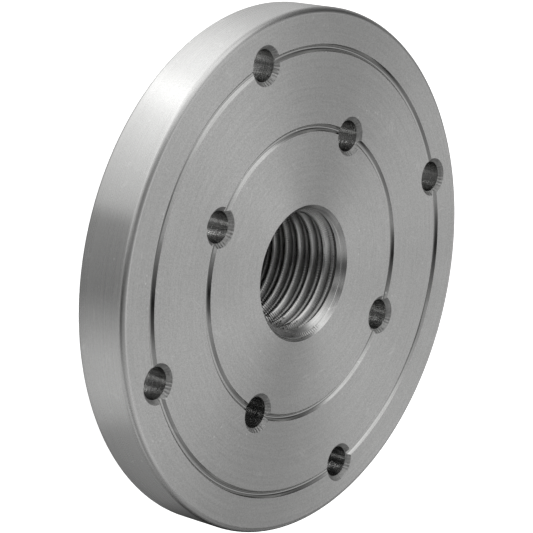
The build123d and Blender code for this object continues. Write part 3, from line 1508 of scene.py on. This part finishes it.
    def cards(self) -> bpy.types.Object:
        """Makes the ring of glowing grey and white cards that lie round the plate, painted reflections in
        its rim.

        The ring lies just over the floor, its points at radius times (cos, sin) of the turn, and
        only reflections see it. Under the disc it is a darker grey, a painted shadow of the disc, and it
        shows in the walls of the bolt holes. Under the bore it is black, painted shade.

        Returns:
            The ring.
        """
        made = bpy.data.materials.new("glowing card")
        tree = bare_tree(made)
        place = add(tree, "ShaderNodeTexCoord").outputs["Object"]
        share, _ = self.compass(tree, place)
        tone = CARD_GLOW.ramp(tree, share)
        reach = add(tree, "ShaderNodeVectorMath", {0: place}, operation="LENGTH").outputs["Value"]
        # Painted shadow: the glow drops under the disc and goes black under the bore.
        lit = self.band(tree, reach, self.disc_edge)
        dim = self.band(tree, reach, self.far, self.far_share, 1.0)
        past = self.band(tree, reach, self.bore_edge)
        under = add(tree, "ShaderNodeMath", {0: UNDERSIDE.ramp(tree, share), 1: past},
                    operation="MULTIPLY")
        strength = add(tree, "ShaderNodeMix", {0: lit, 2: under, 3: tone})
        strength = add(tree, "ShaderNodeMath", {0: strength, 1: dim}, operation="MULTIPLY")
        glow = add(tree, "ShaderNodeEmission", {"Strength": strength})
        fade = self.band(tree, reach, self.fade)
        clear = add(tree, "ShaderNodeBsdfTransparent")
        both = add(tree, "ShaderNodeMixShader", {0: fade, 1: glow, 2: clear})
        add(tree, "ShaderNodeOutputMaterial", {"Surface": both})

        count, turn = self.cards_steps, circle(self.cards_steps)
        radii = np.array([0.0, self.cards_inner, self.cards_outer])
        points = np.stack([np.outer(radii, np.cos(turn)), np.outer(radii, np.sin(turn)),
                           np.full((len(radii), count), self.cards_z)], axis=-1)
        row, column = np.meshgrid(np.arange(len(radii) - 1), np.arange(count), indexing="ij")
        follow = (column + 1) % count
        faces = np.stack([row * count + column, (row + 1) * count + column,
                          (row + 1) * count + follow, row * count + follow], axis=-1)
        ring = self.sheet("cards", (points.reshape(-1, 3) * MM).tolist(),
                          faces.reshape(-1, 4).tolist(), made)
        for ray in UNSEEN:
            setattr(ring, f"visible_{ray}", False)
        return ring

    def slips(self, name: str, level: float, places: tuple[tuple[float, float], ...]) -> bpy.types.Object:
        """Makes round glowing white slips on the floor under the disc, whose light comes up the bolt holes
        from behind as painted glints in their walls.

        Args:
            name: the object's name.
            level: their brightness.
            places: distance from the axis in millimetres and angle round the compass of each slip.

        Returns:
            The slips.
        """
        made = bpy.data.materials.new(name)
        tree = bare_tree(made)
        glow = add(tree, "ShaderNodeEmission", {"Strength": level})
        add(tree, "ShaderNodeOutputMaterial", {"Surface": glow})
        corners, faces = [], []
        for distance, angle in places:
            way = math.radians(self.away + angle)
            x, y = distance * math.cos(way), distance * math.sin(way)
            faces.append(tuple(range(len(corners), len(corners) + self.slip_steps)))
            corners += [((x + self.slip_radius * math.cos(a)) * MM,
                         (y + self.slip_radius * math.sin(a)) * MM, self.slip_z * MM)
                        for a in circle(self.slip_steps)]
        slips = self.sheet(name, corners, faces, made)
        for ray in UNSEEN:
            setattr(slips, f"visible_{ray}", False)
        return slips

    def light(self) -> None:
        """Lights the scene from a soft tent, whose parts mix into each other as they rise. To the
        camera the tent is white."""
        world = bpy.data.worlds.new("studio")
        tree = bare_tree(world)
        where = add(tree, "ShaderNodeTexCoord")
        share, rise = self.compass(tree, where.outputs["Generated"])
        tent = SKIRTING.ramp(tree, share)
        for low, high, dial in TIERS:
            lift = add(tree, "ShaderNodeMapRange", {0: rise, 1: low, 2: high})
            tent = add(tree, "ShaderNodeMix", {0: lift, 2: tent, 3: dial.ramp(tree, share)})
        seen = add(tree, "ShaderNodeLightPath")
        strength = add(tree, "ShaderNodeMix", {0: seen.outputs["Is Camera Ray"], 2: tent, 3: 1.0})
        back = add(tree, "ShaderNodeBackground", {"Color": (1, 1, 1, 1), "Strength": strength})
        add(tree, "ShaderNodeOutputWorld", {"Surface": back})
        bpy.context.scene.world = world


def main() -> None:
    """Builds the camera, the piece and the studio."""
    logging.basicConfig(level=logging.INFO, format="%(name)s: %(message)s")
    bpy.context.scene.view_settings.view_transform = "Standard"
    studio = Studio()
    made = [studio.camera(), Faceplate().build(), studio.floor(), studio.cards()]
    made += [studio.slips(name, level, places) for name, (level, places) in SLIPS.items()]
    studio.light()
    for thing in made:
        log.info("made %s", thing.name)


if __name__ == "__main__":
    main()
